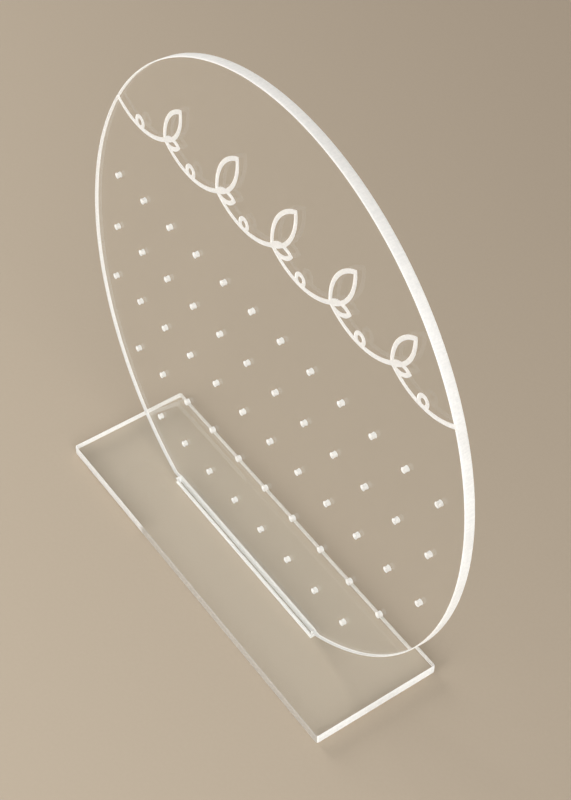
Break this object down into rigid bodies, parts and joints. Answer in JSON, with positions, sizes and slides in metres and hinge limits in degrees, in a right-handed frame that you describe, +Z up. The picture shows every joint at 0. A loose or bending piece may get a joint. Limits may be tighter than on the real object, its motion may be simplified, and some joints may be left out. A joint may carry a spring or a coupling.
{
  "type": "earring display stand",
  "caption": "Clear round plate with rows of small holes for stud earrings and an engraved leafy garland, standing in a slotted rectangular base.",
  "frame": {"origin": "centre of the base's underside", "axes": "+Z up, +X along the base's long side, -Y the side the display plate faces"},
  "size_m": [0.16, 0.039, 0.1546],
  "materials": {
    "clear_acrylic": "clear polished faces, matt white cut edges, hole walls and engraving"
  },
  "bodies": {
    "root": {"display_plate": "clear_acrylic", "base_plate": "clear_acrylic"}
  },
  "joints": []
}
